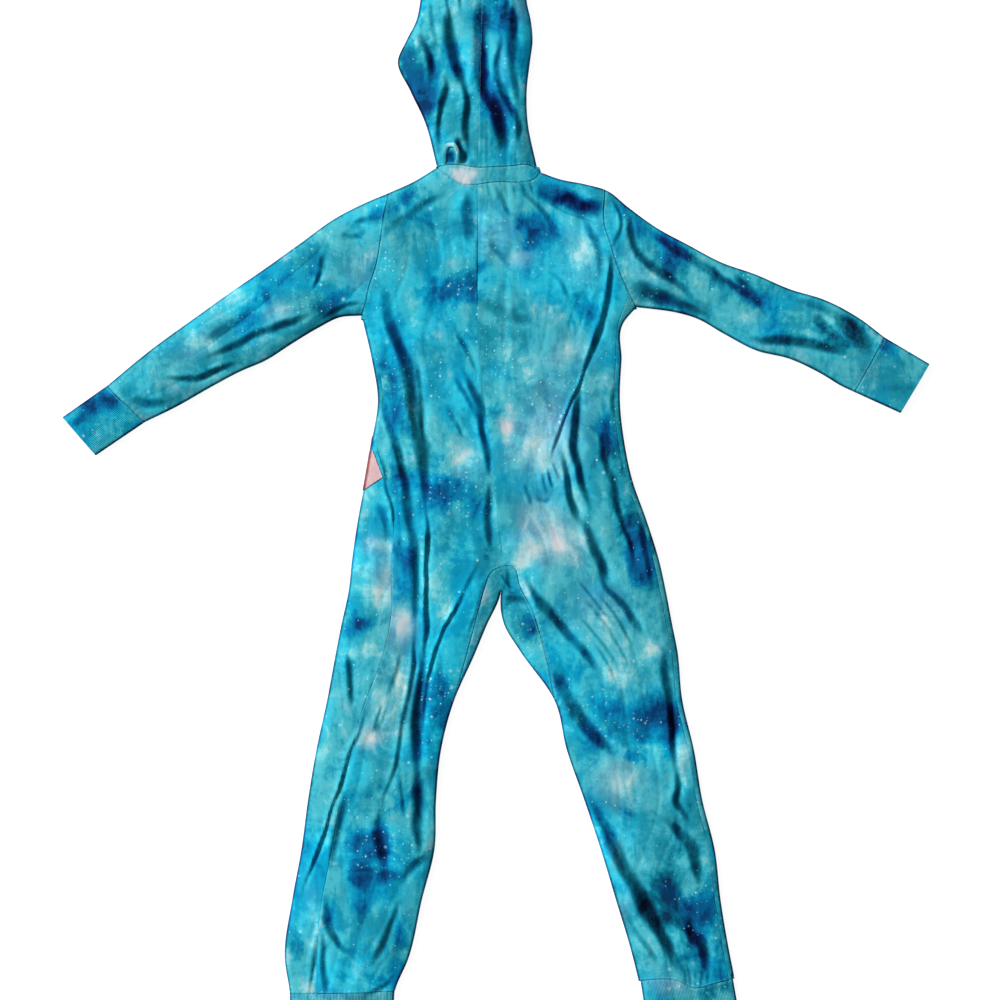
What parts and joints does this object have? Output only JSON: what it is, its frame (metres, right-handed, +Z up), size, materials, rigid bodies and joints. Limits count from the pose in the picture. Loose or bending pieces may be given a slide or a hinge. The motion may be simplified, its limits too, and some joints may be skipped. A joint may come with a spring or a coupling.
{
  "type": "child's hooded one-piece sleep suit",
  "caption": "Child's hooded one-piece sleep suit in galaxy print jersey, laid flat face down, with rib cuffs, a crotch gusset and a pink side pocket.",
  "frame": {"origin": "middle of the footprint, on the surface that the suit lies on", "axes": "+X to the wearer's right, +Y to the hood, +Z up from the surface to the suit's back"},
  "size_m": [1.042, 1.374, 0.0203],
  "materials": {
    "galaxy_jersey": "soft printed knit, matt with a faint sheen",
    "cuff_rib": "printed rib knit, matt",
    "pink_jersey": "soft knit, matt"
  },
  "bodies": {
    "root": {"back_left": "galaxy_jersey", "back_right": "galaxy_jersey", "front_left": "galaxy_jersey", "front_right": "galaxy_jersey", "crotch_gusset": "galaxy_jersey", "front_placket": "galaxy_jersey", "front_pocket": "pink_jersey", "sleeve_left": "galaxy_jersey", "sleeve_right": "galaxy_jersey", "wrist_cuff_left": "cuff_rib", "wrist_cuff_right": "cuff_rib", "ankle_cuff_left": "cuff_rib", "ankle_cuff_right": "cuff_rib", "hood_left": "galaxy_jersey", "hood_right": "galaxy_jersey", "neck_band": "galaxy_jersey", "hang_loop": "galaxy_jersey"}
  },
  "joints": []
}
